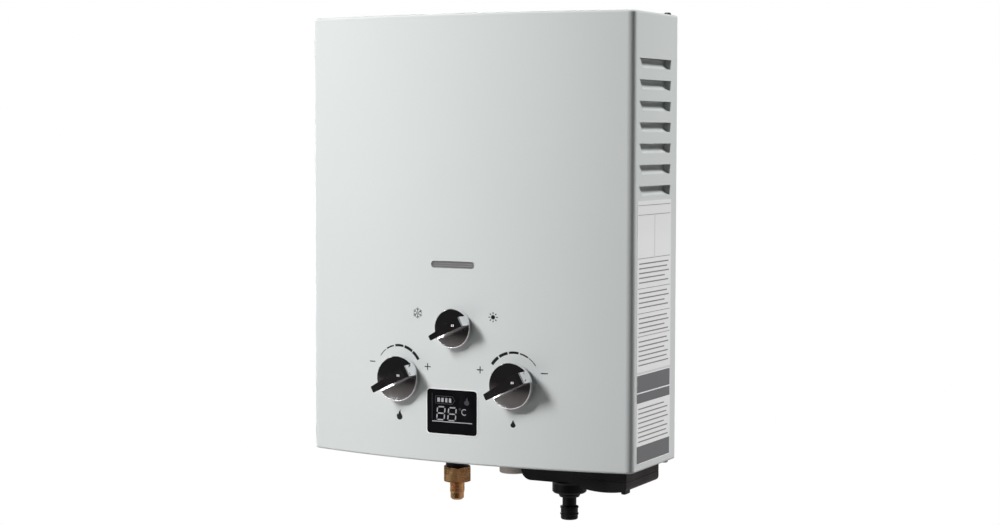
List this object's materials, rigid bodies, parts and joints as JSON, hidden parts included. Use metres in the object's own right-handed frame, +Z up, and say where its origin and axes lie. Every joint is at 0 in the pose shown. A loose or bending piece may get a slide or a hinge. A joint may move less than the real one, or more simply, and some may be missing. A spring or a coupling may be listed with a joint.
{
  "type": "portable gas water heater",
  "caption": "Wall-hung instant gas water heater: curved white casing with side louvres, control knobs, display, pipe connections and battery box below, burner and finned exchanger inside.",
  "frame": {"origin": "middle of the two lower wall-screw holes, on the wall face of the chassis", "axes": "+X to the right seen from the front, +Y from the front into the wall, +Z up"},
  "size_m": [0.292, 0.1213, 0.4101],
  "materials": {
    "white_paint": "satin",
    "zinc_sheet": "satin",
    "stainless": "satin",
    "copper": "satin",
    "brass": "satin",
    "black_gloss": "gloss",
    "black_plastic": "satin",
    "cream_plastic": "satin",
    "cast_aluminium": "satin",
    "ceramic": "gloss",
    "rubber": "matte",
    "grey_plastic": "satin",
    "green_board": "satin",
    "cell_can": "gloss"
  },
  "bodies": {
    "casing": {"front_cover": "white_paint", "chassis": "zinc_sheet", "cover_screws": "stainless", "viewing_mesh": "stainless", "display_lens": "black_gloss", "display_housing": "black_plastic", "display_board": "green_board", "gas_inlet_fitting": "brass", "gas_inlet_gland": "black_plastic", "gas_valve_body": "cast_aluminium", "solenoid_valve": "grey_plastic", "season_valve_body": "cast_aluminium", "gas_manifold": "cast_aluminium", "injectors": "brass", "burner_bars": "stainless", "burner_frame": "zinc_sheet", "combustion_chamber": "copper", "exchanger_casing": "copper", "exchanger_fins": "copper", "exchanger_tube": "copper", "flue_hood": "zinc_sheet", "ignition_electrode": "ceramic", "flame_sensor": "ceramic", "electrode_brackets": "zinc_sheet", "overheat_thermostat": "grey_plastic", "ignition_controller": "grey_plastic", "tilt_switch": "grey_plastic", "water_valve_body": "brass", "diaphragm": "rubber", "diaphragm_cover": "brass", "housing_screws": "stainless", "micro_switch": "black_plastic", "switch_bracket": "zinc_sheet", "cold_feed_pipe": "copper", "hot_outlet_pipe": "copper", "hot_outlet_spigot": "brass", "inlet_shroud": "black_plastic", "hose_nipple": "black_plastic", "battery_box": "black_plastic", "lid_hinge_pin": "stainless", "battery_cells": "cell_can", "battery_contacts": "stainless"},
    "gas_dial": {"gas_knob": "black_gloss", "gas_spindle": "brass"},
    "water_dial": {"water_knob": "black_gloss", "water_spindle": "brass"},
    "season_dial": {"season_knob": "black_gloss", "season_spindle": "brass"},
    "lid": {"battery_lid": "black_plastic"},
    "cap": {"outlet_cap": "cream_plastic"},
    "linkage": {"linkage_rod": "stainless"},
    "lever": {"switch_lever": "stainless"}
  },
  "joints": [
    {"name": "gas_knob_turn", "type": "hinge", "parent": "casing", "child": "gas_dial", "pos_m": [-0.053, -0.1, 0.046], "axis": [0, 1, 0], "range_deg": [-120, 0]},
    {"name": "water_knob_turn", "type": "hinge", "parent": "casing", "child": "water_dial", "pos_m": [0.05, -0.1, 0.046], "axis": [0, 1, 0], "range_deg": [-120, 0]},
    {"name": "season_knob_turn", "type": "hinge", "parent": "casing", "child": "season_dial", "pos_m": [-0.0015, -0.1, 0.0893], "axis": [0, 1, 0], "range_deg": [-120, 0]},
    {"name": "battery_lid_hinge", "type": "hinge", "parent": "casing", "child": "lid", "pos_m": [0.1183, -0.0129, -0.028], "axis": [1, 0, 0], "range_deg": [0, 90]},
    {"name": "outlet_cap_pull", "type": "slide", "parent": "casing", "child": "cap", "axis": [0, 0, -1], "range_m": [0, 0.02]},
    {"name": "linkage_slide", "type": "slide", "parent": "casing", "child": "linkage", "axis": [-1, 0, 0], "range_m": [0, 0.003], "stiffness_N_per_m": 400},
    {"name": "switch_lever_turn", "type": "hinge", "parent": "casing", "child": "lever", "pos_m": [-0.0018, -0.052, 0.0573], "axis": [0, 1, 0], "range_deg": [0, 26.5]}
  ],
  "couplings": [
    {"joint": "switch_lever_turn", "follows": "linkage_slide", "rad_per_m": 150}
  ]
}
